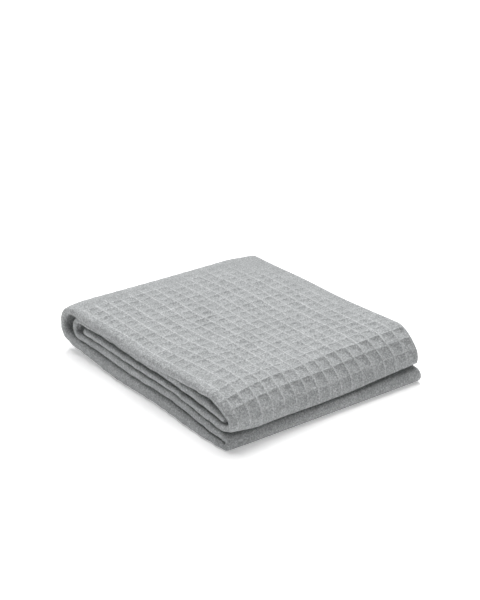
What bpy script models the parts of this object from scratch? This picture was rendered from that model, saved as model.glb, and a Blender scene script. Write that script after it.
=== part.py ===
"""Waffle weave cotton blanket, folded into a low stack.

The blanket is one rectangular cloth. It is folded in half twice across its
width, which makes a strip of four plies, and the strip is then folded along
its length into five panels. In the model:

  X  across the folded strip: the doubled folds lie at -X, the hems at +X
  Y  along the panels: the front fold lies at -Y, the nested folds at +Y
  Z  up: the bottom panel rests on Z = 0

Every station of the solid is one section of the four plies, set square on the
line that runs through the middle of the strip.
"""
import math

import bmesh
import bpy

MM = 0.001

# Driving dimensions of the folded stack and of its cloth
FOLDED_WIDTH = 350.0 * MM
FOLDED_LENGTH = 430.0 * MM
FOLDED_HEIGHT = 75.0 * MM
CLOTH_THICK = 2.1 * MM
PLY_PITCH = 2.5 * MM
PLIES = 4

HALF_WIDTH = FOLDED_WIDTH / 2
HALF_LENGTH = FOLDED_LENGTH / 2

# How far the hems at +X stop short of the fold beside them
HEM_SETBACK = (4.0 * MM, 8.5 * MM)

# Points of the mesh inside a ply, as shares of its run, and steps round the
# folds of the section and along a panel
PLY_SHARES = (0.09, 0.5, 0.91)
DOUBLE_FOLD_STEPS = 7
SINGLE_FOLD_STEPS = 4
PANEL_STEPS = 6

# The stack, from the bottom panel up. "loft" is how far the four plies spread,
# as a multiple of their tightest stack, and "gap" the air under the panel in
# millimetres, each at the front (-Y), the middle and the back (+Y).
STACK_COLUMNS = ("name", "loft_front", "loft_mid", "loft_back",
                 "gap_front", "gap_mid", "gap_back")
STACK_ROWS = (
    ("bottom", 0.95, 2.65, 1.60, 0.0, 0.0, 0.0),
    ("fourth", 1.00, 1.64, 1.03, 1.4, 0.7, 0.7),
    ("third", 1.25, 1.03, 1.75, 0.8, 0.9, 0.6),
    ("second", 1.90, 1.04, 1.00, 3.6, 0.7, 0.6),
)
TOP_LOFTS = (0.75, 1.84, 1.00)

# The run of the strip through the stack, from its inner end to its outer one.
# "start" and "end" are places along Y and "inset" how far the folded side at
# -X stands back, in millimetres.
PANEL_COLUMNS = ("name", "start", "end", "inset")
PANEL_ROWS = (
    ("second", -182.0, 161.0, 3.0),
    ("fourth", 161.0, -206.0, 0.5),
    ("bottom", -206.0, 163.0, 0.0),
    ("top", 172.0, -165.0, 0.5),
    ("third", -192.5, 146.0, 1.5),
)

# The turns between them. "steps" divides the turn, "reach" is how far the
# middle of the plies runs past the panels' ends, "sag" how far the widest
# point of the turn hangs below its half height, in millimetres, and "fullness"
# the exponent of its outline: 1 is an ellipse, and less is squarer.
TURN_COLUMNS = ("name", "steps", "reach", "sag", "fullness")
TURN_ROWS = (
    ("nested_back", 8, 13.0, 0.0, 1.0),
    ("front_tongue", 8, 5.6, 0.0, 1.0),
    ("outer_back", 12, 40.5, 4.5, 0.95),
    ("front", 14, 26.0, 3.0, 1.0),
)

# The back of the stack lifts off the surface from here on
LIFT_FROM = 45.0 * MM
LIFT_RUN = 118.0 * MM
LIFT_RISE = 7.8 * MM

# Soft shape of the whole stack: its corners pulled in, most at the top, the
# lower panels and the front fold turned a little, opposite ways, the front fold
# dipping between two fuller ends, and the folded side wavering in and out
CORNER_PULLS = {
    ("folded", "front"): 3.0 * MM,
    ("hemmed", "front"): 0.5 * MM,
    ("folded", "back"): 3.0 * MM,
    ("hemmed", "back"): 6.0 * MM,
}
CORNER_PULL_LOW = 0.4
CORNER_RUN = 55.0 * MM
LOW_SKEW = 1.5 * MM
FRONT_SKEW_NEAR = 11.0 * MM
FRONT_SKEW_FAR = 3.0 * MM
FRONT_SKEW_FROM = 12.0 * MM
FRONT_SKEW_RISE = 30.0 * MM
FRONT_SKEW_RUN = 110.0 * MM
FRONT_RISE = 3.5 * MM
FRONT_DIP = 6.5 * MM
FRONT_DIP_AT = 30.0 * MM
FRONT_DIP_REACH = 150.0 * MM
SIDE_WAVER = 1.4 * MM
SIDE_WAVES = 4.6
SIDE_TWIST = 3.0
EDGE_DROOP = 2.5 * MM
EDGE_RUN = 30.0 * MM
WAVE_HEIGHT = 1.0 * MM
WAVES_ALONG = 2.3
WAVES_ACROSS = 1.6
WAVE_SHIFT_ALONG = 0.6
WAVE_SHIFT_ACROSS = -0.4

# Points this close over the surface lie on it
REST_SNAP = 0.05 * MM

COTTON_GREY = (0.46, 0.48, 0.49, 1.0)
COTTON_ROUGHNESS = 0.95


def rows(columns, table):
    """Turn a table of rows into dictionaries keyed by column name."""
    return [dict(zip(columns, row)) for row in table]


def through(front, mid, back, t):
    """Smooth curve through three values at t = 0, 0.5 and 1."""
    return (front * (1 - t) * (1 - 2 * t)
            + mid * 4 * t * (1 - t)
            + back * t * (2 * t - 1))


def ramp(value):
    """Smooth step from 0 to 1."""
    value = min(max(value, 0.0), 1.0)
    return value * value * (3 - 2 * value)


def half_stack(loft):
    """Half the height of the four plies at this loft."""
    return (PLIES - 1) * PLY_PITCH * loft / 2 + CLOTH_THICK / 2


def lift(y):
    """Height of the underside of the stack over the surface."""
    past = max(0.0, (y - LIFT_FROM) / LIFT_RUN)
    return LIFT_RISE * past * past


def level(name, y):
    """Height of the middle of a panel at y, and its loft there."""
    t = (y + HALF_LENGTH) / FOLDED_LENGTH
    if name == "top":
        loft = through(*TOP_LOFTS, t)
        return FOLDED_HEIGHT - half_stack(loft), loft
    height = lift(y)
    for row in rows(STACK_COLUMNS, STACK_ROWS):
        loft = through(row["loft_front"], row["loft_mid"], row["loft_back"], t)
        gap = through(row["gap_front"], row["gap_mid"], row["gap_back"], t)
        height += gap * MM + half_stack(loft)
        if row["name"] == name:
            return height, loft
        height += half_stack(loft)
    raise ValueError("no panel named " + name)


def panel_stations(panel):
    """Stations along a panel as (y, z, loft, inset)."""
    stations = []
    for step in range(PANEL_STEPS + 1):
        y = panel["start"] + (panel["end"] - panel["start"]) * step / PANEL_STEPS
        z, loft = level(panel["name"], y * MM)
        stations.append((y * MM, z, loft, panel["inset"] * MM))
    return stations


def bulge(value, fullness):
    """A sine or cosine drawn out towards a squarer outline."""
    return math.copysign(abs(value) ** fullness, value)


def turn_stations(turn, first, last):
    """Stations inside a turn that joins two panel ends."""
    side = 1 if turn["name"].endswith("back") else -1
    stations = []
    for step in range(1, turn["steps"]):
        angle = math.pi * step / turn["steps"]
        across = bulge(math.sin(angle), turn["fullness"])
        share = (1 - bulge(math.cos(angle), turn["fullness"])) / 2
        blend = [a + (b - a) * share for a, b in zip(first, last)]
        blend[0] += side * turn["reach"] * MM * across
        blend[1] -= turn["sag"] * MM * across ** 2
        stations.append(tuple(blend))
    return stations


def strip_stations():
    """Stations of the whole strip, from its inner end to its outer one."""
    panels = [panel_stations(row) for row in rows(PANEL_COLUMNS, PANEL_ROWS)]
    stations = list(panels[0])
    for turn, panel in zip(rows(TURN_COLUMNS, TURN_ROWS), panels[1:]):
        stations += turn_stations(turn, stations[-1], panel[0])
        stations += panel
    return stations


def arc(centre, radius, start, sweep, steps):
    """Points round part of a circle, each with its direction from the centre."""
    points = []
    for step in range(steps + 1):
        angle = start + sweep * step / steps
        way = (math.cos(angle), math.sin(angle))
        points.append((centre[0] + radius * way[0], centre[1] + radius * way[1], way))
    return points


def ply(x_from, x_to, height, side):
    """Points inside one ply; side is +1 where its outer face looks up."""
    return [(x_from + (x_to - x_from) * share, height, (0.0, side)) for share in PLY_SHARES]


def section(loft, inset):
    """Outline of the four plies in (x, height over the middle of the strip)."""
    pitch = PLY_PITCH * loft
    inner_turn = pitch / 2
    outer_turn = 3 * pitch / 2
    fold_x = -HALF_WIDTH + inset + CLOTH_THICK / 2 + outer_turn
    far_x = HALF_WIDTH - CLOTH_THICK / 2 - inner_turn
    low_hem, mid_hem = (far_x - setback for setback in HEM_SETBACK)

    middle = [(low_hem, -outer_turn, (0.0, -1.0))]
    middle += ply(low_hem, fold_x, -outer_turn, -1.0)
    middle += arc((fold_x, 0.0), outer_turn, -math.pi / 2, -math.pi, DOUBLE_FOLD_STEPS)
    middle += ply(fold_x, far_x, outer_turn, 1.0)
    middle += arc((far_x, pitch), inner_turn, math.pi / 2, -math.pi, SINGLE_FOLD_STEPS)
    middle += ply(far_x, fold_x, inner_turn, -1.0)
    turn = arc((fold_x, 0.0), inner_turn, math.pi / 2, math.pi, SINGLE_FOLD_STEPS)
    middle += [(x, height, (-way[0], -way[1])) for x, height, way in turn]
    middle += ply(fold_x, mid_hem, -inner_turn, 1.0)
    middle.append((mid_hem, -inner_turn, (0.0, 1.0)))

    half = CLOTH_THICK / 2
    face = [(x + half * way[0], height + half * way[1]) for x, height, way in middle]
    back = [(x - half * way[0], height - half * way[1]) for x, height, way in middle]
    return face + back[::-1]


def soften(x, y, z):
    """Settle a point: corners pulled in, edges drooping, the top uneven."""
    edge = ramp(1 - (HALF_WIDTH - abs(x)) / CORNER_RUN)
    end = ramp(1 - (HALF_LENGTH - abs(y)) / CORNER_RUN)
    high = z / FOLDED_HEIGHT
    corner = ("folded" if x < 0 else "hemmed", "front" if y < 0 else "back")
    pull = CORNER_PULLS[corner] * (CORNER_PULL_LOW + (1 - CORNER_PULL_LOW) * high)
    y -= math.copysign(pull * edge * edge * end, y)
    x -= math.copysign(pull * edge * end * end, x)
    y -= LOW_SKEW * (1 - high) * x / HALF_WIDTH
    near_front = ramp(1 - (HALF_LENGTH + y) / FRONT_SKEW_RUN)
    above = ramp((z - FRONT_SKEW_FROM) / FRONT_SKEW_RISE)
    side = x / HALF_WIDTH
    skew = (FRONT_SKEW_FAR * side * (1 + side) + FRONT_SKEW_NEAR * side * (1 - side)) / 2
    y += skew * near_front * above
    x -= SIDE_WAVER * edge * math.sin(SIDE_WAVES * math.pi * y / FOLDED_LENGTH + SIDE_TWIST * high)
    droop = ramp(1 - (HALF_WIDTH + x) / EDGE_RUN)
    z -= EDGE_DROOP * droop * high * high
    dip = 1 - ramp(abs(x - FRONT_DIP_AT) / FRONT_DIP_REACH)
    z += (FRONT_RISE - FRONT_DIP * dip) * near_front * above
    z += WAVE_HEIGHT * high * high * (
        math.sin(WAVES_ALONG * math.pi * y / FOLDED_LENGTH + WAVE_SHIFT_ALONG)
        * math.cos(WAVES_ACROSS * math.pi * x / FOLDED_WIDTH + WAVE_SHIFT_ACROSS))
    return x, y, (0.0 if z < REST_SNAP else z)


def place_section(station, tangent):
    """Points of one station's section in the stack."""
    y, z, loft, inset = station
    up = (tangent[1], -tangent[0])
    points = []
    for x, height in section(loft, inset):
        points.append(soften(x, y + height * up[0], z + height * up[1]))
    return points


def tangents(stations):
    """Direction of the strip at each station, in the plane of Y and Z."""
    ways = []
    for index in range(len(stations)):
        before = stations[max(index - 1, 0)]
        after = stations[min(index + 1, len(stations) - 1)]
        along = (after[0] - before[0], after[1] - before[1])
        length = math.hypot(*along)
        ways.append((along[0] / length, along[1] / length))
    return ways


def centre_on_origin(form):
    """Move the form so that its box is centred over the origin."""
    shift = []
    for axis in (0, 1):
        places = [vert.co[axis] for vert in form.verts]
        shift.append(-(min(places) + max(places)) / 2)
    bmesh.ops.translate(form, verts=form.verts, vec=(shift[0], shift[1], 0.0))


def build_blanket():
    """One closed solid of the folded cloth."""
    stations = strip_stations()
    mesh = bpy.data.meshes.new("blanket")
    form = bmesh.new()
    rings = []
    for station, tangent in zip(stations, tangents(stations)):
        rings.append([form.verts.new(point) for point in place_section(station, tangent)])
    count = len(rings[0])
    for ring, following in zip(rings, rings[1:]):
        for i in range(count):
            j = (i + 1) % count
            form.faces.new((ring[i], ring[j], following[j], following[i]))
    for ring in (rings[0], rings[-1]):
        for i in range(count // 2 - 1):
            form.faces.new((ring[i], ring[i + 1], ring[count - 2 - i], ring[count - 1 - i]))
    bmesh.ops.recalc_face_normals(form, faces=form.faces)
    centre_on_origin(form)
    form.to_mesh(mesh)
    form.free()
    return bpy.data.objects.new("blanket", mesh)


def cotton():
    """Matt cool grey cotton."""
    material = bpy.data.materials.new("cotton")
    material.use_nodes = True
    shader = material.node_tree.nodes["Principled BSDF"]
    shader.inputs["Base Color"].default_value = COTTON_GREY
    shader.inputs["Roughness"].default_value = COTTON_ROUGHNESS
    return material


def main():
    for old in list(bpy.data.objects):
        bpy.data.objects.remove(old, do_unlink=True)
    blanket = build_blanket()
    blanket.data.materials.append(cotton())
    bpy.context.scene.collection.objects.link(blanket)


main()
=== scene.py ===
"""Looks of the waffle weave cotton blanket, folded into a low stack.

The cloth is one closed sheet. A flat grid is carried onto the folds: one side
of the grid runs once round the section of the four plies, the other runs along
the strip through its five panels and four turns. The ridges of the weave lie on
lines of the grid, at whole numbers of columns (across) and rows (along).
Lengths in the tables are in millimetres, and in metres everywhere else.
"""
import math

import bmesh
import bpy
import numpy as np
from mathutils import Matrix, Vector


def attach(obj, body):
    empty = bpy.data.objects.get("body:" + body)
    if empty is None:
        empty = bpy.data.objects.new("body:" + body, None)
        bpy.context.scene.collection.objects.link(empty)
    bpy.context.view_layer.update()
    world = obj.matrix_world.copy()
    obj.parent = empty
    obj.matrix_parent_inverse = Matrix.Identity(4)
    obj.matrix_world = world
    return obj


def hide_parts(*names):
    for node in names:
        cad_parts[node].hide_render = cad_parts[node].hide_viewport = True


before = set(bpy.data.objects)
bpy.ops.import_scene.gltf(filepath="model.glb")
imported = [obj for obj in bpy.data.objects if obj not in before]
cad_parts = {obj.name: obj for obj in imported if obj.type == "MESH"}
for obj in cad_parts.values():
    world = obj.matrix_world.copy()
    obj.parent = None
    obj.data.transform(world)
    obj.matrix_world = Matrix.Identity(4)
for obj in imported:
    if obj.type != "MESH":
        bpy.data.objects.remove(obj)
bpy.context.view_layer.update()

bl_info = {
    "name": "Waffle Weave Blanket",
    "version": (1, 0, 0),
    "blender": (4, 5, 0),
    "location": "3D View > Sidebar > Blanket",
    "description": "Builds a folded waffle weave cotton blanket and a plain stage",
    "category": "Object",
}

MM = 0.001
NODE = "blanket"
PIECE = "waffle_blanket"

# The folded strip and its cloth
FOLDED_WIDTH = 350.0 * MM
FOLDED_LENGTH = 430.0 * MM
FOLDED_HEIGHT = 75.0 * MM
CLOTH_THICK = 2.1 * MM
PLY_PITCH = 2.5 * MM
PLIES = 4
HALF_WIDTH = FOLDED_WIDTH / 2
HALF_LENGTH = FOLDED_LENGTH / 2

# How far the low and the middle hem stop short of the fold beside them
HEM_SETBACK = (4.0 * MM, 8.5 * MM)

# Moves the middle of the stack onto the frame's origin
BOX_SHIFT = (-0.11 * MM, 2.51 * MM)

# The stack, from the bottom panel up: how far the four plies spread, as a
# multiple of their tightest stack, and the air under the panel, each at the
# front, in the middle and at the back. The top panel hangs from the full height
# instead. These tables follow those of the solids, but come closer to the
# layers in the photograph.
STACK_COLUMNS = ("name", "loft_front", "loft_mid", "loft_back",
                 "gap_front", "gap_mid", "gap_back")
STACK_ROWS = (
    ("bottom", 0.95, 2.65, 1.60, 0.0, 0.0, 0.0),
    ("fourth", 1.00, 1.64, 1.03, 1.4, 0.7, 0.7),
    ("third", 1.25, 1.03, 1.75, 0.8, 0.9, 0.6),
    ("second", 1.90, 1.02, 1.02, 3.6, 0.75, 0.9),
)
TOP_LOFTS = (0.75, 1.84, 1.00)

# The run of the strip through the stack, from its inner end to its outer one:
# where each panel starts and ends along Y, and how far its folded side stands
# back
PANEL_COLUMNS = ("name", "start", "end", "inset")
PANEL_ROWS = (
    ("second", -182.0, 161.0, 3.0),
    ("fourth", 161.0, -206.0, 0.5),
    ("bottom", -206.0, 163.0, 0.0),
    ("top", 172.0, -165.0, 0.5),
    ("third", -192.5, 146.0, 1.5),
)

# The turns between them: how far the middle of the plies runs past the panels'
# ends, how far the widest point sags, and how full the outline is (1 is a half
# ellipse, and less is squarer)
TURN_COLUMNS = ("name", "reach", "sag", "fullness")
TURN_ROWS = (
    ("nested_back", 13.0, 0.0, 1.0),
    ("front_tongue", 5.6, 0.0, 1.0),
    ("outer_back", 40.5, 4.5, 0.95),
    ("front", 26.0, 3.0, 1.0),
)

# Steps of the middle line along a panel or turn, and how full the doubled folds
# are at the folded side
PATH_STEPS = 60
FOLD_FULLNESS = 0.75

# Ripples, each a size (metres, or a share of the weave's height), a wave in
# cells and a seed. A ripple adds up plain waves: how many, the angle between
# their ways, and the first one's stretch and phase with what each more adds.
RIPPLES = {
    "stray_across": (0.35 * MM, 3.1, 1.3),
    "stray_along": (0.35 * MM, 2.7, 4.2),
    "weave_broad": (0.22, 4.5, 2.2),
    "weave_fine": (0.10, 2.2, 6.1),
    "side_out": (1.0 * MM, 1.6, 2.9),
    "side_up": (0.45 * MM, 1.6, 5.3),
}
RIPPLE_WAVES = 5
RIPPLE_TURN = 2.4
RIPPLE_STRETCH = (0.7, 0.19)
RIPPLE_PHASE = (3.1, 1.7)
RIPPLE_SHARE = 1 / 3

# The columns at which the ripples of the folded side are read
SIDE_OUT_COLUMN = -0.24
SIDE_UP_COLUMN = -0.6

# The strip's inner end closes up, and at the folded side it reaches further
# into the front fold and hangs a little
INNER_RUN = 40.0 * MM
INNER_REACH = 13.0 * MM
INNER_DROOP = 4.0 * MM
INNER_CLOSING = 0.35

# The lower lip of the front fold rests closer on the tongue, a little less so
# at the hemmed side, and not at all at the folded side
FRONT_LIP = 7.5 * MM
FRONT_LIP_FROM = -203.0 * MM
FRONT_LIP_RUN = 12.0 * MM
FRONT_LIP_TOP = 50.0 * MM
FRONT_LIP_RISE = 21.0 * MM
FRONT_LIP_FADE = 60.0 * MM
FRONT_LIP_EASE = 0.12

# The middle layers stand back from the top's rim and from the bottom panel, and
# the second panel does so most, but for its ends
LAYERS_BACK = 2.5 * MM
SECOND_BACK = 3.0 * MM
SECOND_BACK_FROM = 85.0 * MM
SECOND_BACK_RUN = 60.0 * MM

# The back of the stack lifts off the floor from here on
LIFT_FROM = 45.0 * MM
LIFT_RUN = 118.0 * MM
LIFT_RISE = 7.8 * MM

# Corners are pulled in, less so (by this share) at the floor, and the hemmed one
# at the back also drops
CORNER_PULLS = {
    "front": {"folded": 3.0 * MM, "hemmed": 0.5 * MM},
    "back": {"folded": 3.0 * MM, "hemmed": 6.0 * MM},
}
CORNER_PULL_LOW = 0.4
CORNER_RUN = 55.0 * MM
HEMMED_BACK_DROP = 4.0 * MM

# The stack's foot is turned a little, and the front fold above it more: it
# reaches further out at the folded side, and dips between two fuller ends
LOW_SKEW = 1.5 * MM
FRONT_SKEW_NEAR = 11.0 * MM
FRONT_SKEW_FAR = 3.0 * MM
FRONT_SKEW_FROM = 12.0 * MM
FRONT_SKEW_RISE = 30.0 * MM
FRONT_SKEW_RUN = 110.0 * MM
FRONT_RISE = 3.5 * MM
FRONT_DIP = 6.5 * MM
FRONT_DIP_AT = 30.0 * MM
FRONT_DIP_REACH = 150.0 * MM

# The sides waver, the folded edge droops, and the top is uneven
SIDE_WAVER = 1.4 * MM
SIDE_WAVES = 4.6
SIDE_TWIST = 3.0
EDGE_DROOP = 2.5 * MM
EDGE_RUN = 30.0 * MM
WAVE_HEIGHT = 1.0 * MM
WAVES_ALONG = 2.3
WAVES_ACROSS = 1.6
WAVE_SHIFT_ALONG = 0.6
WAVE_SHIFT_ACROSS = -0.4

# The weave's grid. Column 0 and row 0 are the first ridges beside the folded
# side and behind the front fold: a place along X, and a distance on the outer
# face past the top panel's start. The lists give where the mesh has lines in a
# cell. Columns that would come before the end of the doubled fold lie past it
# instead, this share of a cell apart.
COLUMN_ZERO = -163.0 * MM
COLUMNS = 16
ROW_ZERO = 372.5 * MM
CELL_LINES_FINE = (0.0, 0.055, 0.16, 0.34, 0.5, 0.66, 0.84, 0.945)
CELL_LINES_PLAIN = (0.0, 0.12, 0.5, 0.88)
COLUMNS_APART = 0.4

# The relief of a cell: where it is deepest and how wide a cord is (in cells),
# the cords' share of the height, the rows' slopes and cords beside the
# columns', the height that lies level with plain cloth, and the deepest dent
DEEPEST = 0.66
CORD_WIDTH = 0.05
CORD_SHARE = 0.2
ROW_SLOPE = 0.95
ROW_CORD = 0.8
LEVEL_RELIEF = 0.42
SUNK_AT_MOST = 1.6 * MM

# The weave stands up from past the start of the outer back fold to the end of
# the front fold, and a little on the tongue. It also runs a little way round
# the folded side: it rises over this share of the doubled fold and fades over
# this many cells past it.
WEAVE_PAST = 16.0 * MM
WEAVE_RUN_IN = 30.0 * MM
WEAVE_RUN_OUT = 10.0 * MM
TONGUE_WEAVE = 0.2
TONGUE_WEAVE_RUN = 6.0 * MM
FOLD_WEAVE = 0.22
FOLD_WEAVE_IN = 0.3
FOLD_WEAVE_OUT = 0.8

# The weave's height on the outer ply. Each row changes it by a share where all its
# ramps are full, and a ramp has an axis, a start and a run in cells, which is
# below zero where it runs backwards.
HEIGHT_COLUMNS = ("name", "change", "ramps")
HEIGHT_ROWS = (
    ("back_at_hems", -0.85, (("column", 9.0, 5.5), ("row", 14.0, 4.5))),
    ("back_fold_top", -0.8, (("row", 18.6, 1.4),)),
    ("back_fold_side", 1.75, (("row", 21.0, 2.0),)),
    ("hemmed_rim", -0.7, (("column", 14.2, 1.2), ("row", 2.5, 1.5))),
    ("folded_rim", -0.2, (("column", 0.4, -0.9),)),
    ("front_rim", 0.25, (("row", -1.8, 2.0), ("row", 2.2, -2.0))),
    ("front_fold_low", -0.65, (("row", -1.15, -0.6),)),
)

# Stretches of the strip from the start of one panel or turn to the end of
# another, with this much beyond: where the outer face shows and the grid has
# every line round it, and where the strip bends and it has every line along it.
# The grid has no line this close to the strip's ends but the ends themselves.
BEYOND = 12.0 * MM
SHOWN = (("front_tongue", "front_tongue"), ("outer_back", "front"))
BENT = (("nested_back", "nested_back"), ("front_tongue", "front_tongue"),
        ("outer_back", "front"))
END_CLEARANCE = 2.0 * MM

# Strays and creases lie from before the top panel to the end of the front fold,
# and strays fade out between these columns and the cloth's sides
STRAYS_BEFORE = 60.0 * MM
STRAYS_RUN_IN = 50.0 * MM
STRAYS_RUN_OUT = 30.0 * MM
STRAY_SIDES = (-0.3, 15.9)
STRAY_SIDES_RUN = 1.6

# How the ridges stray on the top panel: at this column and row, over this
# reach in cells, the ridges move this far across and along, in millimetres.
STRAY_COLUMNS = ("name", "column", "row", "reach_across", "reach_along",
                 "across", "along")
STRAY_ROWS = (
    ("left_waist", 1.5, 11.0, 2.6, 4.0, -4.5, 2.0),
    ("left_front", 2.6, 4.6, 2.4, 2.2, 4.5, 1.0),
    ("near_corner", -0.5, 2.5, 2.8, 5.0, 0.0, -8.0),
    ("crease_head", 5.2, 13.5, 1.3, 2.6, -4.0, -3.0),
    ("crease_foot", 5.2, 7.6, 1.6, 2.4, 3.0, -1.0),
    ("right_waist", 10.2, 7.5, 3.2, 4.0, -4.2, 0.0),
    ("right_back", 11.0, 16.0, 3.2, 3.6, 3.6, 2.5),
    ("right_front", 10.5, 2.6, 4.2, 3.0, 0.0, 7.5),
    ("right_roll", 12.5, 0.6, 4.2, 1.8, -4.0, 0.0),
    ("mid_back", 7.2, 14.0, 1.8, 3.4, 0.0, -4.0),
)

# Main creases: soft troughs (or ridges, where the depth is below zero) from one
# place to another in columns and rows, with their width in cells and depth in
# millimetres. They fade out past their ends over this share of their length.
CREASE_COLUMNS = ("name", "column_from", "row_from", "column_to", "row_to",
                  "width", "depth")
CREASE_ROWS = (
    ("pinch_back", 4.2, 18.0, 4.8, 12.5, 0.45, 0.9),
    ("pinch_mid", 4.8, 12.5, 4.6, 9.0, 0.35, 1.5),
    ("pinch_front", 4.6, 9.0, 5.2, 5.5, 0.40, 1.0),
    ("lifted_row", 2.6, 7.3, 6.4, 7.8, 0.18, -0.8),
    ("front_row", 8.2, 3.25, 16.4, 3.45, 0.20, 1.2),
    ("near_row", 0.0, 1.6, 5.5, 1.9, 0.30, 0.7),
)
CREASE_FADE = 0.25

# Points on the rim of the grid that are closer than this become one
MERGE_WITHIN = 1e-6

# Cotton's shade runs from the dents' colour at 0 to the ridges' at 1, which is paler
# thread with a painted highlight: what it is on plain cloth, what a full ridge adds,
# how narrow ridges are, how much of it the rows get, how soon they are full where the
# weave rises, and how far two noises swing it to both sides
PLAIN_SHADE = 0.25
RIDGE_PALENESS_AND_HIGHLIGHT = 0.52
COLUMN_CREST_POWER = 12.0
ROW_CREST_POWER = 10.0
ROW_CREST_SHARE = 0.6
CREST_GAIN = 1.3
SPECKLE_SWING = 1.3
MOTTLE_SWING = 0.15

# Cotton's noises as (scale, detail, roughness) and its bumps as (distance,
# strength), with how steep the bump is that stands for the weave on flat cloth
SPECKLE = (440.0, 2.0, 0.7)
MOTTLE = (45.0, 2.0, 0.5)
FUZZ = (520.0, 3.0, 0.65)
FLAT_WEAVE_POWER = 1.6
FLAT_WEAVE_BUMP = (0.0004, 1.0)
THREAD_BUMP = (0.00012, 0.6)
FUZZ_BUMP = (0.0016, 0.9)
COTTON_SURFACE = {"Roughness": 0.95, "Specular IOR Level": 0.2,
                  "Sheen Weight": 0.25, "Sheen Roughness": 0.5}

# The stage. Its lights are far off: the angles that each comes from, about the
# stack and above the floor, and how broad it is, in degrees
LIGHT_COLUMNS = ("name", "turn", "rise", "spread")
LIGHT_ROWS = (
    ("overhead", 60.0, 75.0, 45.0),
    ("raking", 58.0, 44.0, 16.0),
)
LIGHT_DISTANCE = 2.0
FLOOR_HALF_SIZE = 20.0
CAMERA_LOOKS_AT = (0.0951, 0.1144, 0.0374)
WHITE = (1.0, 1.0, 1.0, 1.0)
FLOOR_SURFACE = {"Roughness": 0.9, "Specular IOR Level": 0.1, "Emission Color": WHITE}


class BlanketSizes(bpy.types.PropertyGroup):
    """Sizes and colours of the cloth"""

    cell_across: bpy.props.FloatProperty(
        name="Cell Across", description="Distance between two column ridges",
        default=0.0209, min=0.005, max=0.05, unit="LENGTH")
    cell_along: bpy.props.FloatProperty(
        name="Cell Along", description="Distance between two row ridges",
        default=0.0186, min=0.005, max=0.05, unit="LENGTH")
    ridge_height: bpy.props.FloatProperty(
        name="Ridge Height",
        description="Height of the ridges over the middle of a cell",
        default=0.0029, min=0.0, max=0.006, unit="LENGTH")
    thread_pitch: bpy.props.FloatProperty(
        name="Thread Pitch", description="Distance between two threads of the weave",
        default=0.00105, min=0.0004, max=0.003, unit="LENGTH")
    # Paler thread on the ridges together with a painted highlight
    crest_colour_and_highlight: bpy.props.FloatVectorProperty(
        name="Crest Colour", description="Cotton on the ridges",
        subtype="COLOR", size=3, min=0.0, max=1.0, default=(0.66, 0.675, 0.683))
    dent_colour: bpy.props.FloatVectorProperty(
        name="Dent Colour", description="Cotton in the middle of the cells",
        subtype="COLOR", size=3, min=0.0, max=1.0, default=(0.265, 0.275, 0.278))


class StageSizes(bpy.types.PropertyGroup):
    """Floor, lights and camera"""

    floor_colour: bpy.props.FloatVectorProperty(
        name="Floor Colour", description="Plain pale floor",
        subtype="COLOR", size=3, min=0.0, max=1.0, default=(0.95, 0.95, 0.95))
    floor_glow: bpy.props.FloatProperty(
        name="Floor Glow",
        description="Light given off by the floor, as by a light table",
        default=0.30, min=0.0)
    overhead_strength: bpy.props.FloatProperty(
        name="Overhead Light", description="Strength of the broad light overhead",
        default=2.5, min=0.0)
    raking_strength: bpy.props.FloatProperty(
        name="Raking Light", description="Strength of the low light from behind",
        default=2.1, min=0.0)
    sky_strength: bpy.props.FloatProperty(
        name="Sky Strength", description="Strength of the even light from all round",
        default=0.20, min=0.0)
    camera_distance: bpy.props.FloatProperty(
        name="Camera Distance", description="From the camera to the place it looks at",
        default=2.281, min=0.3, unit="LENGTH")
    camera_azimuth: bpy.props.FloatProperty(
        name="Camera Azimuth", description="Turn of the camera about the stack",
        default=math.radians(-37.32), subtype="ANGLE")
    camera_elevation: bpy.props.FloatProperty(
        name="Camera Elevation", description="Angle of the camera above the floor",
        default=math.radians(23.69), subtype="ANGLE")
    camera_lens: bpy.props.FloatProperty(
        name="Focal Length", description="Focal length for a 36 mm sensor",
        default=86.73, min=10.0, unit="CAMERA")


def rows(columns, table):
    """Turn a table of rows into dictionaries keyed by column name."""
    return [dict(zip(columns, row)) for row in table]


def ramp(value):
    """Smooth step from 0 to 1."""
    value = np.clip(value, 0.0, 1.0)
    return value * value * (3 - 2 * value)


def within(value, start, end, run_in, run_out):
    """Smooth step up past a start, and down again before an end."""
    return ramp((value - start) / run_in) * ramp((end - value) / run_out)


def ripple(name, column, row):
    """One of the ripples: an uneven smooth surface about 0."""
    size, wave, seed = RIPPLES[name]
    total = 0.0
    for index in range(RIPPLE_WAVES):
        angle = seed + RIPPLE_TURN * index
        stretch = 2 * math.pi / wave * (RIPPLE_STRETCH[0] + RIPPLE_STRETCH[1] * index)
        phase = seed * (RIPPLE_PHASE[0] + RIPPLE_PHASE[1] * index)
        way = column * math.cos(angle) + row * math.sin(angle)
        total = total + np.sin(stretch * way + phase)
    return size * RIPPLE_SHARE * total


def through(front, mid, back, t):
    """Smooth curve through three values at t = 0, 0.5 and 1."""
    return (front * (1 - t) * (1 - 2 * t)
            + mid * 4 * t * (1 - t)
            + back * t * (2 * t - 1))


def bulge(value, fullness):
    """A sine or cosine drawn out towards a squarer outline."""
    return np.sign(value) * np.abs(value) ** fullness


def half_stack(loft):
    """Half the height of the four plies at this loft."""
    return (PLIES - 1) * PLY_PITCH * loft / 2 + CLOTH_THICK / 2


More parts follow.
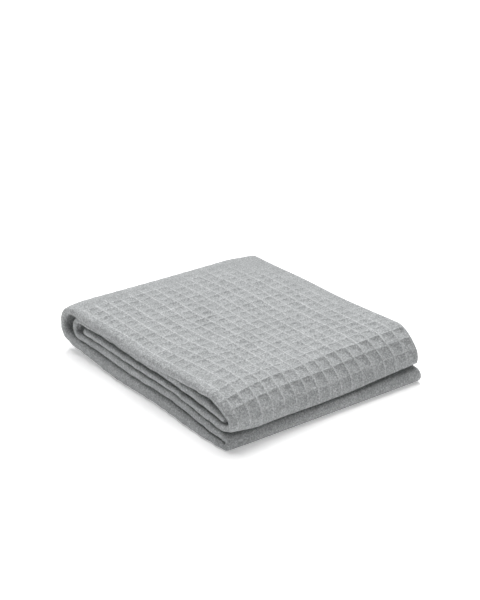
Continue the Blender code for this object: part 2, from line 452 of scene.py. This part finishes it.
def level(name, y):
    """Height of the middle of a panel at y, and its loft there."""
    t = (y + HALF_LENGTH) / FOLDED_LENGTH
    if name == "top":
        loft = through(*TOP_LOFTS, t)
        return FOLDED_HEIGHT - half_stack(loft), loft
    height = LIFT_RISE * max(0.0, (y - LIFT_FROM) / LIFT_RUN) ** 2
    for row in rows(STACK_COLUMNS, STACK_ROWS):
        loft = through(row["loft_front"], row["loft_mid"], row["loft_back"], t)
        gap = through(row["gap_front"], row["gap_mid"], row["gap_back"], t)
        height += gap * MM + half_stack(loft)
        if row["name"] == name:
            return height, loft
        height += half_stack(loft)
    raise ValueError("no panel named " + name)


def panel_path(panel):
    """Stations along a panel as (y, z, loft, inset)."""
    path = []
    for y in np.linspace(panel["start"], panel["end"], PATH_STEPS + 1) * MM:
        z, loft = level(panel["name"], y)
        path.append((y, z, loft, panel["inset"] * MM))
    return path


def turn_path(turn, first, last):
    """Stations inside a turn that joins two panel ends."""
    side = 1 if turn["name"].endswith("back") else -1
    path = []
    for step in range(1, PATH_STEPS):
        angle = math.pi * step / PATH_STEPS
        across = bulge(math.sin(angle), turn["fullness"])
        share = (1 - bulge(math.cos(angle), turn["fullness"])) / 2
        blend = [a + (b - a) * share for a, b in zip(first, last)]
        blend[0] += side * turn["reach"] * MM * across
        blend[1] -= turn["sag"] * MM * across ** 2
        path.append(tuple(blend))
    return path


class Strip:
    """The middle line of the strip, from its inner end to its outer one."""

    def __init__(self):
        panels = rows(PANEL_COLUMNS, PANEL_ROWS)
        path = panel_path(panels[0])
        counts = {panels[0]["name"]: (0, len(path) - 1)}
        for turn, panel in zip(rows(TURN_COLUMNS, TURN_ROWS), panels[1:]):
            begun = len(path) - 1
            following = panel_path(panel)
            path += turn_path(turn, path[-1], following[0])
            counts[turn["name"]] = (begun, len(path))
            counts[panel["name"]] = (len(path), len(path) + PATH_STEPS)
            path += following
        self.values = np.array(path)
        steps = np.hypot(*np.diff(self.values[:, :2], axis=0).T)
        self.run = np.concatenate(([0.0], np.cumsum(steps)))
        ways = np.gradient(self.values[:, :2], self.run, axis=0)
        self.ways = ways / np.hypot(*ways.T)[:, None]
        self.marks = {name: (self.run[first], self.run[last])
                      for name, (first, last) in counts.items()}
        self.face = self.face_run()
        self.row_zero = np.interp(self.marks["top"][0], self.run, self.face) + ROW_ZERO
        self.length = self.run[-1]

    def face_run(self):
        """Distance along the outer face, which is longer where it bends outwards."""
        angle = np.unwrap(np.arctan2(self.ways[:, 1], self.ways[:, 0]))
        bend = np.gradient(angle, self.run)
        rate = 1 + np.maximum(bend * half_stack(self.values[:, 2]), 0.0)
        steps = np.diff(self.run) * (rate[1:] + rate[:-1]) / 2
        return np.concatenate(([0.0], np.cumsum(steps)))

    def row_at(self, place, cell):
        """Row of the weave at a distance along the strip."""
        return (self.row_zero - np.interp(place, self.run, self.face)) / cell

    def place_of(self, row, cell):
        """Distance along the strip of a row of the weave."""
        return np.interp(self.row_zero - row * cell, self.face, self.run)

    def among(self, place, stretches):
        """True where a distance lies in one of these stretches."""
        ends = [(self.marks[first][0], self.marks[last][1])
                for first, last in stretches]
        return any(start - BEYOND <= place <= end + BEYOND for start, end in ends)

    def passed(self, place, name):
        """Smooth step from 0 to 1 over a panel or turn."""
        start, end = self.marks[name]
        return ramp((place - start) / (end - start))

    def stations(self, cell):
        """Distances along the strip at which the grid has a line."""
        places = [0.0, self.length]
        first = math.floor(self.row_at(self.length, cell))
        last = math.ceil(self.row_at(0.0, cell))
        for row in range(first, last + 1):
            for lines, bent in ((CELL_LINES_FINE, True), (CELL_LINES_PLAIN, False)):
                for line in lines:
                    place = float(self.place_of(row + line, cell))
                    clear = END_CLEARANCE < place < self.length - END_CLEARANCE
                    if clear and self.among(place, BENT) == bent:
                        places.append(place)
        return np.array(sorted(places))


class Ring:
    """The outline of the section: part, share of it, column, use and side.

    Columns run on round the folds, and on the outer ply they are the weave's.
    """

    PARTS = ("low_ply", "double_fold", "outer_ply", "single_fold",
             "second_ply", "inner_fold", "third_ply")
    FOLD_COLUMN = -0.17
    FAR_COLUMN = 15.95
    SPANS = {"low_ply": (-17.2, -1.03), "double_fold": (-1.03, FOLD_COLUMN),
             "single_fold": (FAR_COLUMN, 16.18), "second_ply": (16.18, 32.5),
             "inner_fold": (32.5, 32.7), "third_ply": (32.7, 48.7)}

    # Steps round the folds on the cloth's face and on its back
    FACE_STEPS = {"double_fold": 14, "single_fold": 8, "inner_fold": 8}
    BACK_STEPS = {"double_fold": 6, "single_fold": 4, "inner_fold": 4}

    # The outer ply's columns on the cloth's back, and the ends of those on its face
    BACK_COLUMNS = (0, 1, 3, 5, 7, 9, 11, 13, 14, 15)
    FIRST_COLUMN = -0.07
    LAST_COLUMN = 15.86

    # Where the plies inside have points, as shares of their width
    PLY_SHARES = (0.09, 0.3, 0.5, 0.7, 0.91)
    SHARES = {"low_ply": (0.0, 0.03, *PLY_SHARES), "second_ply": PLY_SHARES,
              "third_ply": (*PLY_SHARES, 0.97, 1.0)}

    def __init__(self):
        plain_columns = [(column, True) for column in self.BACK_COLUMNS]
        face = self.line(self.FACE_STEPS, self.fine_columns())
        back = self.line(self.BACK_STEPS, plain_columns)
        points = [(*point, 1.0) for point in face]
        points += [(*point, -1.0) for point in back[::-1]]
        self.part, self.share, self.column, self.kept, self.side = (
            np.array(values) for values in zip(*points))
        self.count = len(points)

    def fine_columns(self):
        """Columns of the outer ply's lines, each with whether all rows keep it."""
        places = [(self.FIRST_COLUMN, True)]
        for column in range(COLUMNS):
            for line in CELL_LINES_FINE:
                if column + line < self.LAST_COLUMN:
                    places.append((column + line, line == 0.0 and column % 2 == 0))
        return places

    def line(self, steps, outer):
        """One face of the cloth from its low hem to its middle hem."""
        span = self.FAR_COLUMN - self.FOLD_COLUMN
        points = []
        for name in self.PARTS:
            if name == "outer_ply":
                points += [(name, (column - self.FOLD_COLUMN) / span, column, kept)
                           for column, kept in outer]
                continue
            if name in steps:
                shares = np.linspace(0, 1, steps[name] + 1)
            else:
                shares = self.SHARES[name]
            low, high = self.SPANS[name]
            points += [(name, share, low + (high - low) * share, True)
                       for share in shares]
        return points


def section(ring, loft, inset):
    """Places on the middle of the cloth and the way its face looks there."""
    pitch = PLY_PITCH * loft
    inner = pitch / 2
    outer = (PLIES - 1) * pitch / 2
    fold_x = -HALF_WIDTH + inset + CLOTH_THICK / 2 + outer
    far_x = HALF_WIDTH - CLOTH_THICK / 2 - inner
    low_hem, mid_hem = (far_x - setback for setback in HEM_SETBACK)
    # A ply's start, end, height and way; a fold's centre, radius, start and sweep
    # in half turns, and whether its face looks away from the centre
    plies = {"low_ply": (low_hem, fold_x, -outer, -1.0),
             "outer_ply": (fold_x, far_x, outer, 1.0),
             "second_ply": (far_x, fold_x, inner, -1.0),
             "third_ply": (fold_x, mid_hem, -inner, 1.0)}
    folds = {"double_fold": (fold_x, 0.0, outer, -0.5, -1.0, 1.0),
             "single_fold": (far_x, pitch, inner, 0.5, -1.0, 1.0),
             "inner_fold": (fold_x, 0.0, inner, 0.5, 1.0, -1.0)}
    x, height, way_x, way_h = (np.zeros(loft.shape) for _ in range(4))
    for name in ring.PARTS:
        here = np.broadcast_to(ring.part == name, loft.shape)
        share = np.broadcast_to(ring.share, loft.shape)[here]
        values = [np.broadcast_to(value, loft.shape)[here]
                  for value in (plies.get(name) or folds[name])]
        if name in plies:
            start, end, height[here], way_h[here] = values
            x[here] = start + (end - start) * share
        else:
            centre_x, centre_h, radius, begin, sweep, out = values
            angle = math.pi * (begin + sweep * share)
            fullness = FOLD_FULLNESS if name == "double_fold" else 1.0
            x[here] = centre_x + radius * bulge(np.cos(angle), fullness)
            height[here] = centre_h + radius * bulge(np.sin(angle), fullness)
            way_x[here] = out * np.cos(angle)
            way_h[here] = out * np.sin(angle)
    return x, height, way_x, way_h


def column_places(ring, x, cell):
    """Put the outer ply's points on the columns of the weave, past its fold."""
    outer = (ring.part == "outer_ply") & (ring.side > 0)
    fold_end = np.argmax(outer) - 1
    columns_on = ring.column - Ring.FOLD_COLUMN
    past_fold = x[:, fold_end:fold_end + 1] + COLUMNS_APART * cell * columns_on
    straight = COLUMN_ZERO + cell * ring.column
    return np.where(outer, np.maximum(straight, past_fold), x)


def layers_back(strip, place):
    """How much further the folded side stands back in the middle layers."""
    middle = 1 - strip.passed(place, "front_tongue") + strip.passed(place, "front")
    second = within(place, SECOND_BACK_FROM, strip.marks["second"][1],
                    SECOND_BACK_RUN, SECOND_BACK_RUN)
    return LAYERS_BACK * middle + SECOND_BACK * second


def strays(column, row):
    """How far the ridges stray across and along, fading out at the sides."""
    across = ripple("stray_across", column, row)
    along = ripple("stray_along", column, row)
    for stray in rows(STRAY_COLUMNS, STRAY_ROWS):
        near = np.exp(-((column - stray["column"]) / stray["reach_across"]) ** 2
                      - ((row - stray["row"]) / stray["reach_along"]) ** 2)
        across = across + stray["across"] * MM * near
        along = along - stray["along"] * MM * near
    fade = within(column, *STRAY_SIDES, STRAY_SIDES_RUN, STRAY_SIDES_RUN)
    return across * fade, along


def creases(column, row):
    """Depth of the main creases, in metres."""
    depth = 0.0
    for crease in rows(CREASE_COLUMNS, CREASE_ROWS):
        start = (crease["column_from"], crease["row_from"])
        way = (crease["column_to"] - start[0], crease["row_to"] - start[1])
        length = math.hypot(*way)
        along = ((column - start[0]) * way[0] + (row - start[1]) * way[1]) / length ** 2
        off = ((column - start[0]) * way[1] - (row - start[1]) * way[0]) / length
        fade = within(along, -CREASE_FADE, 1 + CREASE_FADE, CREASE_FADE, CREASE_FADE)
        middle = crease["depth"] * MM * fade
        depth = depth + middle * np.exp(-(off / crease["width"]) ** 2)
    return depth


def panel_strength(strip, column, row, distance):
    """How high the weave stands on the outer ply, by where it lies."""
    axes = {"column": column, "row": row}
    strength = 1 + ripple("weave_broad", column, row)
    strength = strength + ripple("weave_fine", column, row)
    for height in rows(HEIGHT_COLUMNS, HEIGHT_ROWS):
        share = 1.0
        for axis, start, run in height["ramps"]:
            share = share * ramp((axes[axis] - start) / run)
        strength = strength * (1 + height["change"] * share)
    shown = within(distance, strip.marks["outer_back"][0] + WEAVE_PAST,
                   strip.marks["front"][1], WEAVE_RUN_IN, WEAVE_RUN_OUT)
    tongue = within(distance, *strip.marks["front_tongue"],
                    TONGUE_WEAVE_RUN, TONGUE_WEAVE_RUN)
    return strength * np.maximum(shown, TONGUE_WEAVE * tongue)


def fold_strength(ring):
    """How high the ridges stand where they run over the folded side."""
    rising = np.where(ring.part == "double_fold", ramp(ring.share / FOLD_WEAVE_IN), 0.0)
    past_fold = (ring.column - Ring.FOLD_COLUMN) / FOLD_WEAVE_OUT
    fading = np.where(ring.part == "outer_ply", 1 - ramp(past_fold), 0.0)
    return FOLD_WEAVE * np.maximum(rising, fading)


def cells(column, row):
    """Height of the weave over the middle of a cell, from 0 to 1.

    Each cell is a shallow pyramid upside down, deepest towards the ridges beyond
    it, and a cord lies on every ridge.
    """
    slopes, cords = [], []
    for turn in (column - np.floor(column), row - np.floor(row)):
        slopes.append(np.where(turn < DEEPEST, 1 - turn / DEEPEST,
                               (turn - DEEPEST) / (1 - DEEPEST)))
        cords.append(np.exp(-(np.minimum(turn, 1 - turn) / CORD_WIDTH) ** 2))
    slope = np.maximum(slopes[0], ROW_SLOPE * slopes[1])
    cord = np.maximum(cords[0], ROW_CORD * cords[1])
    return (1 - CORD_SHARE) * slope + CORD_SHARE * cord


def soften(x, y, z):
    """Settle the cloth: corners pulled in, edges drooping, the top uneven."""
    edge = ramp(1 - (HALF_WIDTH - np.abs(x)) / CORNER_RUN)
    end = ramp(1 - (HALF_LENGTH - np.abs(y)) / CORNER_RUN)
    high = z / FOLDED_HEIGHT
    front, back = (np.where(x < 0, pulls["folded"], pulls["hemmed"])
                   for pulls in (CORNER_PULLS["front"], CORNER_PULLS["back"]))
    pull = np.where(y < 0, front, back)
    pull = pull * (CORNER_PULL_LOW + (1 - CORNER_PULL_LOW) * high)
    y = y - np.sign(y) * pull * edge * edge * end
    x = x - np.sign(x) * pull * edge * end * end
    y = y - LOW_SKEW * (1 - high) * x / HALF_WIDTH
    near_front = ramp(1 - (HALF_LENGTH + y) / FRONT_SKEW_RUN)
    above = ramp((z - FRONT_SKEW_FROM) / FRONT_SKEW_RISE)
    side = x / HALF_WIDTH
    far_skew = FRONT_SKEW_FAR * side * (1 + side)
    near_skew = FRONT_SKEW_NEAR * side * (1 - side)
    y = y + (far_skew + near_skew) / 2 * near_front * above
    x = x - SIDE_WAVER * edge * np.sin(SIDE_WAVES * math.pi * y / FOLDED_LENGTH
                                       + SIDE_TWIST * high)
    droop = ramp(1 - (HALF_WIDTH + x) / EDGE_RUN)
    z = z - EDGE_DROOP * droop * high * high
    z = z - HEMMED_BACK_DROP * edge * end * high * high * ((x > 0) & (y > 0))
    dip = 1 - ramp(np.abs(x - FRONT_DIP_AT) / FRONT_DIP_REACH)
    z = z + (FRONT_RISE - FRONT_DIP * dip) * near_front * above
    z = z + WAVE_HEIGHT * high * high * (
        np.sin(WAVES_ALONG * math.pi * y / FOLDED_LENGTH + WAVE_SHIFT_ALONG)
        * np.cos(WAVES_ACROSS * math.pi * x / FOLDED_WIDTH + WAVE_SHIFT_ACROSS))
    return x, y, np.maximum(z, 0.0)


def settle_front(strip, distance, tip, x, y, z):
    """Move the strip's inner end into the front fold, and rest the fold's lip."""
    inner = tip * ramp(-x / HALF_WIDTH)
    y = y - INNER_REACH * inner
    z = z - INNER_DROOP * inner
    lip = ramp((FRONT_LIP_FROM - y) / FRONT_LIP_RUN)
    lip = lip * ramp((FRONT_LIP_TOP - z) / FRONT_LIP_RISE)
    lip = lip * ramp((HALF_WIDTH + x) / FRONT_LIP_FADE)
    lip = lip * (distance > strip.marks["top"][0])
    hang = FRONT_LIP * (1 - FRONT_LIP_EASE * (HALF_WIDTH + x) / FOLDED_WIDTH)
    return y, z - hang * lip


def fold_cloth(strip, ring, stations, sizes):
    """Places of all points of the grid, with their cloth places and relief."""
    shape = (len(stations), ring.count)
    column = np.broadcast_to(ring.column, shape)
    row = np.broadcast_to(strip.row_at(stations, sizes.cell_along)[:, None], shape)
    distance = np.broadcast_to(stations[:, None], shape)
    faced = ring.side > 0
    shown = faced & (ring.part == "outer_ply")
    near_side = faced & (ring.part == "double_fold")

    # Ridges stray on the outer ply and, only along the strip, on its fold
    strayed = within(distance, strip.marks["top"][0] - STRAYS_BEFORE,
                     strip.marks["front"][1], STRAYS_RUN_IN, STRAYS_RUN_OUT)
    across, along = strays(column, row)
    across = np.where(shown, across * strayed, 0.0)
    along = np.where(shown | near_side, along * strayed, 0.0)
    along = along * np.where(near_side, ramp(ring.share), 1.0)
    place = np.clip(distance + along, 0.0, strip.length)

    # The section of the plies at each station, over the middle of the strip
    y, z, loft, inset = (np.interp(place, strip.run, line) for line in strip.values.T)
    way_y, way_z = (np.interp(place, strip.run, line) for line in strip.ways.T)
    tip = ramp(1 - distance / INNER_RUN)
    loft = loft * (1 - INNER_CLOSING * tip)
    x, height, look_x, look_h = section(ring, loft, inset + layers_back(strip, place))
    x = column_places(ring, x, sizes.cell_across) + across
    bent = np.where(ring.part == "double_fold", np.sin(math.pi * ring.share), 0.0)
    moved = bent + (ring.part == "inner_fold")
    x = x + moved * ripple("side_out", SIDE_OUT_COLUMN, row)
    height = height + bent * ripple("side_up", SIDE_UP_COLUMN, row)

    # The weave's relief stands square on the cloth's middle
    strength = np.where(shown, panel_strength(strip, column, row, distance), 0.0)
    strength = np.maximum(strength, np.where(faced, fold_strength(ring), 0.0))
    rise = sizes.ridge_height * strength * (cells(column, row) - LEVEL_RELIEF)
    rise = rise - np.where(shown, creases(column, row) * strayed, 0.0)
    out = ring.side * CLOTH_THICK / 2 + np.maximum(rise, -SUNK_AT_MOST)
    x = x + look_x * out
    height = height + look_h * out

    x, y, z = soften(x, y + height * way_z, z - height * way_y)
    y, z = settle_front(strip, distance, tip, x, y, z)
    places = np.stack((x + BOX_SHIFT[0], y + BOX_SHIFT[1], z), axis=-1)
    cloth = np.stack((column * sizes.cell_across, row * sizes.cell_along), axis=-1)
    return places, cloth, strength


def flat_grid(strip, ring, stations):
    """A grid with a line for each point of the ring and each station.

    Its points lie at whole numbers, the ring's first column comes round again,
    and lines that the weave doesn't need are gone where the cloth doesn't show.
    """
    form = bmesh.new()
    steps = len(stations) - 1
    bmesh.ops.create_grid(form, x_segments=ring.count, y_segments=steps, size=0.5)
    spots = [(round((vert.co.x + 0.5) * ring.count) % ring.count,
              round((vert.co.y + 0.5) * steps)) for vert in form.verts]
    for vert, (around, along) in zip(form.verts, spots):
        vert.co = (around, along, 0.0)

    coarse = [not strip.among(place, SHOWN) for place in stations]
    spare = []
    for edge in form.edges:
        (around, along), (next_around, next_along) = (
            (round(vert.co.x), round(vert.co.y)) for vert in edge.verts)
        lengthwise = around == next_around
        if lengthwise and not ring.kept[around]:
            if coarse[along] or coarse[next_along]:
                spare.append(edge)
    bmesh.ops.dissolve_edges(form, edges=spare, use_verts=True)
    return form


def make_cloth(sizes):
    """One closed mesh of the folded cloth."""
    strip = Strip()
    stations = strip.stations(sizes.cell_along)
    ring = Ring()
    places, cloth, strength = fold_cloth(strip, ring, stations, sizes)
    form = flat_grid(strip, ring, stations)

    cloth_layer = form.loops.layers.uv.new("cloth")
    strength_layer = form.verts.layers.float.new("raised")
    grid = {vert: (round(vert.co.y), round(vert.co.x)) for vert in form.verts}
    for face in form.faces:
        face.smooth = True
        for loop in face.loops:
            loop[cloth_layer].uv = cloth[grid[loop.vert]]
    for vert, spot in grid.items():
        vert[strength_layer] = strength[spot]
        vert.co = places[spot]

    rim = {vert for edge in form.edges if edge.is_boundary for vert in edge.verts}
    bmesh.ops.remove_doubles(form, verts=list(rim), dist=MERGE_WITHIN)
    ends = [edge for edge in form.edges if edge.is_boundary]
    bmesh.ops.holes_fill(form, edges=ends, sides=0)
    bmesh.ops.recalc_face_normals(form, faces=form.faces)
    if form.calc_volume(signed=True) < 0:
        bmesh.ops.reverse_faces(form, faces=form.faces)
    mesh = bpy.data.meshes.new(PIECE)
    form.to_mesh(mesh)
    form.free()
    return mesh


class Nodes:
    """Short hand for wiring a material's nodes."""

    def __init__(self, tree):
        self.tree = tree

    def add(self, kind, **values):
        """A node of a kind, with plain values set on it."""
        node = self.tree.nodes.new(kind)
        for name, value in values.items():
            setattr(node, name, value)
        return node

    def put(self, socket, value):
        """A value or another node's output on a socket."""
        if isinstance(value, bpy.types.NodeSocket):
            self.tree.links.new(value, socket)
        else:
            socket.default_value = value

    def math(self, operation, *inputs, clamp=False):
        """A Math node's output."""
        node = self.add("ShaderNodeMath", operation=operation, use_clamp=clamp)
        for socket, value in zip(node.inputs, inputs):
            self.put(socket, value)
        return node.outputs[0]

    def swing(self, value, size):
        """A value from 0 to 1 spread out from minus this size to plus it."""
        return self.math("MULTIPLY_ADD", value, 2 * size, -size)

    def mix(self, kind, factor, first, second):
        """A Mix node's output for numbers (FLOAT) or colours (RGBA)."""
        node = self.add("ShaderNodeMix", data_type=kind)
        index = {"FLOAT": 0, "RGBA": 2}[kind]
        self.put(node.inputs["Factor"], factor)
        self.put(node.inputs[2 + 2 * index], first)
        self.put(node.inputs[3 + 2 * index], second)
        return node.outputs[index]

    def noise(self, vector, scale, detail, roughness):
        """A Noise Texture's value."""
        node = self.add("ShaderNodeTexNoise")
        self.put(node.inputs["Vector"], vector)
        self.put(node.inputs["Scale"], scale)
        self.put(node.inputs["Detail"], detail)
        self.put(node.inputs["Roughness"], roughness)
        return node.outputs["Fac"]

    def bump(self, height, distance, strength, normal=None):
        """A Bump node's normal."""
        node = self.add("ShaderNodeBump")
        self.put(node.inputs["Strength"], strength)
        self.put(node.inputs["Distance"], distance)
        self.put(node.inputs["Height"], height)
        if normal is not None:
            self.put(node.inputs["Normal"], normal)
        return node.outputs[0]


def new_material(name, surface):
    """A material, its shader with these plain values, and its nodes."""
    material = bpy.data.materials.new(name)
    material.use_nodes = True
    shader = material.node_tree.nodes["Principled BSDF"]
    for socket, value in surface.items():
        shader.inputs[socket].default_value = value
    return material, shader, Nodes(material.node_tree)


def cotton(sizes):
    """Matt cotton: ridges paler than dents, partly paler thread and partly painted
    highlight, threads, and a fine fuzz.
    """
    material, shader, nodes = new_material("grey_waffle_cotton", COTTON_SURFACE)
    cloth = nodes.add("ShaderNodeUVMap", uv_map="cloth").outputs[0]
    split = nodes.add("ShaderNodeSeparateXYZ")
    nodes.put(split.inputs[0], cloth)
    across, along = split.outputs[0], split.outputs[1]
    place = nodes.add("ShaderNodeTexCoord").outputs["Object"]
    raised = nodes.add("ShaderNodeAttribute", attribute_name="raised").outputs["Fac"]

    # 1 on the ridges and 0 in the middle of the cells
    near = []
    for length, cell in ((across, sizes.cell_across), (along, sizes.cell_along)):
        turn = nodes.math("FRACT", nodes.math("DIVIDE", length, cell))
        near.append(nodes.math("ABSOLUTE", nodes.swing(turn, 1.0)))
    weave = nodes.math("POWER", nodes.math("MAXIMUM", *near), FLAT_WEAVE_POWER)
    # The ridges' paler thread and painted highlight, weaker on the rows than on the
    # columns
    row_ridge_and_highlight = nodes.math("POWER", near[1], ROW_CREST_POWER)
    ridge_and_highlight = nodes.math("MAXIMUM", nodes.math("POWER", near[0], COLUMN_CREST_POWER),
                       nodes.math("MULTIPLY", row_ridge_and_highlight, ROW_CREST_SHARE))
    shown = nodes.math("MULTIPLY", raised, CREST_GAIN, clamp=True)
    ridge_and_highlight = nodes.math("MULTIPLY", ridge_and_highlight, shown)

    # The threads that show run along the nearer ridge
    threads = []
    for length in (across, along):
        turns = nodes.math("MULTIPLY", length, 2 * math.pi / sizes.thread_pitch)
        threads.append(nodes.math("SINE", turns))
    on_column = nodes.math("GREATER_THAN", *near)
    thread = nodes.mix("FLOAT", on_column, threads[1], threads[0])

    fuzz = nodes.noise(place, *FUZZ)
    speckle = nodes.swing(nodes.noise(place, *SPECKLE), SPECKLE_SWING)
    mottle = nodes.swing(nodes.noise(place, *MOTTLE), MOTTLE_SWING)
    # The shade mixes the dents' colour towards the ridges' paler colour with its
    # painted highlight
    shade = nodes.math("MULTIPLY_ADD", ridge_and_highlight, RIDGE_PALENESS_AND_HIGHLIGHT, PLAIN_SHADE)
    shade = nodes.math("ADD", shade, nodes.math("ADD", speckle, mottle), clamp=True)
    dents, ridge_colour_and_highlight = (*sizes.dent_colour, 1.0), (*sizes.crest_colour_and_highlight, 1.0)
    nodes.put(shader.inputs["Base Color"], nodes.mix("RGBA", shade, dents, ridge_colour_and_highlight))

    # Where the weave has no relief of its own, it is a bump
    flat = nodes.math("SUBTRACT", 1.0, raised, clamp=True)
    normal = nodes.bump(nodes.math("MULTIPLY", weave, flat), *FLAT_WEAVE_BUMP)
    normal = nodes.bump(thread, *THREAD_BUMP, normal)
    normal = nodes.bump(fuzz, *FUZZ_BUMP, normal)
    nodes.put(shader.inputs["Normal"], normal)
    return material


class OBJECT_OT_waffle_blanket(bpy.types.Operator):
    """Build the folded blanket with its weave, hems and cotton finish"""

    bl_idname = "object.waffle_blanket"
    bl_label = "Folded Blanket"

    def execute(self, context):
        sizes = context.scene.blanket_sizes
        mesh = make_cloth(sizes)
        piece = bpy.data.objects.new(PIECE, mesh)
        context.scene.collection.objects.link(piece)
        mesh.materials.append(cotton(sizes))
        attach(piece, "root")
        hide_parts(NODE)
        return {"FINISHED"}


def direction(turn, rise):
    """Unit vector at an angle about Z from +X, and an angle above the floor."""
    return Vector((math.cos(turn) * math.cos(rise), math.sin(turn) * math.cos(rise),
                   math.sin(rise)))


def aim(name, data, target, back, distance):
    """Put a lamp or camera this far back from a target, looking at it."""
    thing = bpy.data.objects.new(name, data)
    thing.location = target + distance * back
    thing.rotation_euler = (-back).to_track_quat("-Z", "Y").to_euler()
    bpy.context.scene.collection.objects.link(thing)
    return thing


class SCENE_OT_blanket_stage(bpy.types.Operator):
    """Add a plain pale floor, soft studio light and the camera"""

    bl_idname = "scene.blanket_stage"
    bl_label = "Stage"

    def execute(self, context):
        stage = context.scene.stage_sizes
        self.add_floor(context, stage)
        self.add_lights(context, stage)
        self.add_camera(context, stage)
        return {"FINISHED"}

    def add_floor(self, context, stage):
        """A wide plain floor that glows a little."""
        form = bmesh.new()
        bmesh.ops.create_grid(form, x_segments=1, y_segments=1, size=FLOOR_HALF_SIZE)
        mesh = bpy.data.meshes.new("floor")
        form.to_mesh(mesh)
        form.free()
        floor = bpy.data.objects.new("floor", mesh)
        context.scene.collection.objects.link(floor)
        paint, shader, _ = new_material("pale_floor", FLOOR_SURFACE)
        shader.inputs["Base Color"].default_value = (*stage.floor_colour, 1.0)
        shader.inputs["Emission Strength"].default_value = stage.floor_glow
        mesh.materials.append(paint)

    def add_lights(self, context, stage):
        """Broad lights from far off, and even light from all round."""
        for light in rows(LIGHT_COLUMNS, LIGHT_ROWS):
            lamp = bpy.data.lights.new(light["name"], "SUN")
            lamp.angle = math.radians(light["spread"])
            lamp.energy = getattr(stage, light["name"] + "_strength")
            back = direction(math.radians(light["turn"]), math.radians(light["rise"]))
            aim(light["name"], lamp, Vector(), back, LIGHT_DISTANCE)
        world = bpy.data.worlds.new("studio")
        world.use_nodes = True
        sky = world.node_tree.nodes["Background"]
        sky.inputs["Color"].default_value = WHITE
        sky.inputs["Strength"].default_value = stage.sky_strength
        context.scene.world = world
        context.scene.view_settings.view_transform = "Standard"

    def add_camera(self, context, stage):
        """The camera; its azimuth is 0 in front of the stack, towards -Y."""
        lens = bpy.data.cameras.new("camera")
        lens.lens = stage.camera_lens
        back = direction(stage.camera_azimuth - math.pi / 2, stage.camera_elevation)
        context.scene.camera = aim("camera", lens, Vector(CAMERA_LOOKS_AT), back,
                                   stage.camera_distance)


class VIEW3D_PT_waffle_blanket(bpy.types.Panel):
    """Sizes, colours and steps of the blanket"""

    bl_label = "Waffle Weave Blanket"
    bl_idname = "VIEW3D_PT_waffle_blanket"
    bl_space_type = "VIEW_3D"
    bl_region_type = "UI"
    bl_category = "Blanket"

    def draw(self, context):
        layout = self.layout
        for group, button in (("blanket_sizes", "object.waffle_blanket"),
                              ("stage_sizes", "scene.blanket_stage")):
            settings = getattr(context.scene, group)
            column = layout.column(align=True)
            for name in settings.__annotations__:
                column.prop(settings, name)
            column.operator(button)


CLASSES = (BlanketSizes, StageSizes, OBJECT_OT_waffle_blanket, SCENE_OT_blanket_stage,
           VIEW3D_PT_waffle_blanket)


def register():
    for cls in CLASSES:
        bpy.utils.register_class(cls)
    bpy.types.Scene.blanket_sizes = bpy.props.PointerProperty(type=BlanketSizes)
    bpy.types.Scene.stage_sizes = bpy.props.PointerProperty(type=StageSizes)


def unregister():
    del bpy.types.Scene.stage_sizes
    del bpy.types.Scene.blanket_sizes
    for cls in reversed(CLASSES):
        bpy.utils.unregister_class(cls)


def main():
    register()
    bpy.ops.object.waffle_blanket()
    bpy.ops.scene.blanket_stage()


if __name__ == "__main__":
    main()
